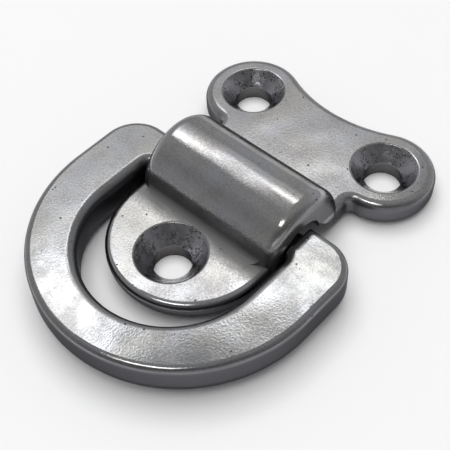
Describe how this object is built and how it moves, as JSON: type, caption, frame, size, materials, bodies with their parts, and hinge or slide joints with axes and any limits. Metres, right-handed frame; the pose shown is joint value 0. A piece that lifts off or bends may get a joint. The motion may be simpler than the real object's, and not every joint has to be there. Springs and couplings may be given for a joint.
{
  "type": "folding pad eye",
  "caption": "Cast stainless pad eye: a D-ring folds flat on either side of a three-hole base with an arch over its pivot bar.",
  "frame": {"origin": "centre of the front screw hole, on the mounting face", "axes": "+Z away from the deck, +Y from the front hole towards the two back holes, X along the ring's pivot"},
  "size_m": [0.0654, 0.0873, 0.0168],
  "materials": {
    "base_casting": "polished cast stainless steel",
    "ring_casting": "polished cast stainless steel, finely pitted"
  },
  "bodies": {
    "base": {"pad_base": "base_casting"},
    "ring": {"d_ring": "ring_casting"}
  },
  "joints": [
    {"name": "ring_fold", "type": "hinge", "parent": "base", "child": "ring", "pos_m": [0, 0.0177, 0.005], "axis": [-1, 0, 0], "range_deg": [0, 160]}
  ]
}
